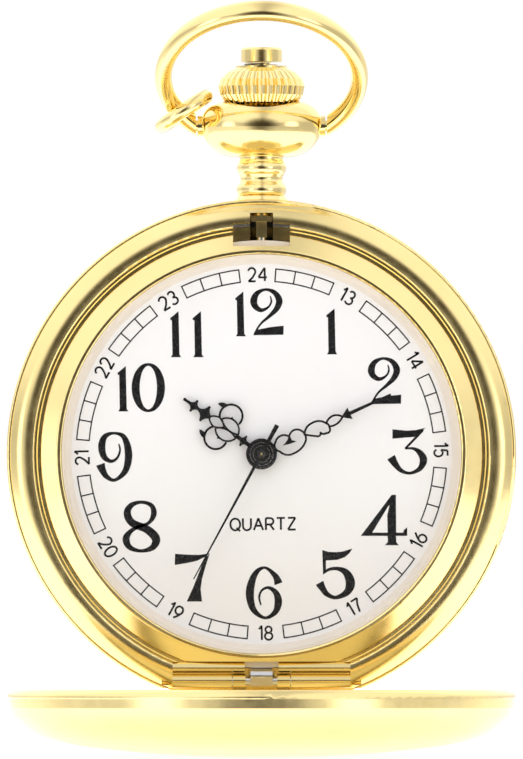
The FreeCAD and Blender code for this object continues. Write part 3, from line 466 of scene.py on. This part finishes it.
LAMPS = [                 # direction of two small lamps, inner and outer half width in degrees, light
    ((-0.74, -0.67, 0.0), 5.0, 14.0, 1.3),
    ((0.68, -0.73, 0.0), 5.0, 14.0, 1.3),
]


def make_camera():
    """Looks straight at the dial from far away."""
    data = bpy.data.cameras.new("camera")
    data.sensor_fit = "VERTICAL"
    data.sensor_height = 36.0
    data.sensor_width = 36.0
    data.lens = 36.0 * (FACE_Y - EYE.y / MM) / FIELD_HEIGHT
    data.clip_start = 0.01
    data.clip_end = 20.0
    camera = bpy.data.objects.new("camera", data)
    bpy.context.scene.collection.objects.link(camera)
    camera.location = EYE
    camera.rotation_euler = (math.pi / 2, 0.0, 0.0)
    bpy.context.scene.camera = camera


def make_floor():
    """A plain pale floor."""
    mesh = bpy.data.meshes.new("floor")
    turns = [2 * math.pi * i / 64 for i in range(64)]
    mesh.from_pydata([(FLOOR_R * math.cos(t), FLOOR_R * math.sin(t), FLOOR_Z - 0.00002) for t in turns], [],
                     [tuple(range(64))])
    mat, tree, shader = new_material("floor", (0.92, 0.92, 0.92), 0.0, 0.9)
    shader.inputs["Emission Color"].default_value = (1.0, 1.0, 1.0, 1.0)
    shader.inputs["Emission Strength"].default_value = FLOOR_GLOW
    mesh.materials.append(mat)
    floor = bpy.data.objects.new("floor", mesh)
    bpy.context.scene.collection.objects.link(floor)


def band(tree, value, low, high, amount):
    """A smooth step of a value from low to high, times an amount."""
    step = tree.nodes.new("ShaderNodeMapRange")
    step.interpolation_type = "SMOOTHSTEP"
    step.inputs["From Min"].default_value = low
    step.inputs["From Max"].default_value = high
    step.inputs["To Min"].default_value = 0.0
    step.inputs["To Max"].default_value = amount
    tree.links.new(value, step.inputs["Value"])
    return step.outputs["Result"]


def total(tree, values, operation="ADD"):
    """Adds or multiplies many values."""
    result = values[0]
    for value in values[1:]:
        node = tree.nodes.new("ShaderNodeMath")
        node.operation = operation
        tree.links.new(result, node.inputs[0])
        tree.links.new(value, node.inputs[1])
        result = node.outputs[0]
    return result


def toward(tree, parts, angle, inner, outer, amount):
    """A patch of light round a clock angle about the dial's axis, seen from the watch."""
    turn = math.radians(angle)
    aim = tree.nodes.new("ShaderNodeCombineXYZ")
    aim.inputs[0].default_value = math.sin(turn)
    aim.inputs[2].default_value = math.cos(turn)
    flat = tree.nodes.new("ShaderNodeVectorMath")
    flat.operation = "MULTIPLY"
    flat.inputs[1].default_value = (1.0, 0.0, 1.0)
    tree.links.new(parts, flat.inputs[0])
    unit = tree.nodes.new("ShaderNodeVectorMath")
    unit.operation = "NORMALIZE"
    tree.links.new(flat.outputs["Vector"], unit.inputs[0])
    dot = tree.nodes.new("ShaderNodeVectorMath")
    dot.operation = "DOT_PRODUCT"
    tree.links.new(unit.outputs["Vector"], dot.inputs[0])
    tree.links.new(aim.outputs["Vector"], dot.inputs[1])
    return band(tree, dot.outputs["Value"], math.cos(math.radians(outer)), math.cos(math.radians(inner)), amount)


def lamp(tree, parts, direction, inner, outer, amount):
    """A round patch of light in one direction."""
    dot = tree.nodes.new("ShaderNodeVectorMath")
    dot.operation = "DOT_PRODUCT"
    dot.inputs[1].default_value = Vector(direction).normalized()
    tree.links.new(parts, dot.inputs[0])
    return band(tree, dot.outputs["Value"], math.cos(math.radians(outer)), math.cos(math.radians(inner)), amount)


def backdrop(tree, strength, link=None, colour=(1.0, 1.0, 1.0)):
    """One plain background shader."""
    node = tree.nodes.new("ShaderNodeBackground")
    node.inputs["Strength"].default_value = strength
    node.inputs["Color"].default_value = (*colour, 1.0)
    if link is not None:
        tree.links.new(link, node.inputs["Strength"])
    return node.outputs["Background"]


def make_world():
    """A studio with a light of its own for the camera, for matt surfaces and for metal.

    The camera sees white. Metal sees soft lights, and a darker room in front of the watch.
    """
    scene = bpy.context.scene
    world = bpy.data.worlds.new("studio")
    scene.world = world
    world.use_nodes = True
    tree = world.node_tree
    tree.nodes.remove(tree.nodes["Background"])
    coord = tree.nodes.new("ShaderNodeTexCoord")
    parts = tree.nodes.new("ShaderNodeSeparateXYZ")
    tree.links.new(coord.outputs["Generated"], parts.inputs["Vector"])
    y, z = parts.outputs[1], parts.outputs[2]
    boxes = total(tree, [
        band(tree, y, -3.0, -2.0, ROOM),
        band(tree, y, *BEHIND_EDGE, BEHIND),
        *[toward(tree, coord.outputs["Generated"], *patch) for patch in SOFTBOXES],
        *[lamp(tree, coord.outputs["Generated"], *patch) for patch in LAMPS],
    ])
    ring = band(tree, y, *FRONT_EDGE, 1.0)
    room = tree.nodes.new("ShaderNodeAddShader")
    tree.links.new(backdrop(tree, 1.0, total(tree, [boxes, ring], "MULTIPLY")), room.inputs[0])
    tree.links.new(backdrop(tree, FRONT, None, DUSK), room.inputs[1])
    fill = total(tree, [band(tree, z, -3.0, -2.0, FILL), band(tree, z, *SKY_EDGE, SKY)])
    rays = tree.nodes.new("ShaderNodeLightPath")
    last = room.outputs["Shader"]
    for kind, light in (("Is Diffuse Ray", backdrop(tree, 1.0, fill)), ("Is Camera Ray", backdrop(tree, 1.0))):
        mix = tree.nodes.new("ShaderNodeMixShader")
        tree.links.new(rays.outputs[kind], mix.inputs["Fac"])
        tree.links.new(last, mix.inputs[1])
        tree.links.new(light, mix.inputs[2])
        last = mix.outputs["Shader"]
    tree.links.new(last, tree.nodes["World Output"].inputs["Surface"])
    scene.view_settings.view_transform = "Standard"
    scene.view_settings.look = "None"
    scene.view_settings.exposure = 0.0
    scene.view_settings.gamma = 1.0


# ---------------------------------------------------------------- making
materials = make_materials()
dress_nodes(materials)
make_camera()
make_floor()
make_world()
print_hours(materials["hand_black"])
print_track(materials["hand_black"])
print_word(materials["hand_black"])
hub_rings(materials["steel"])
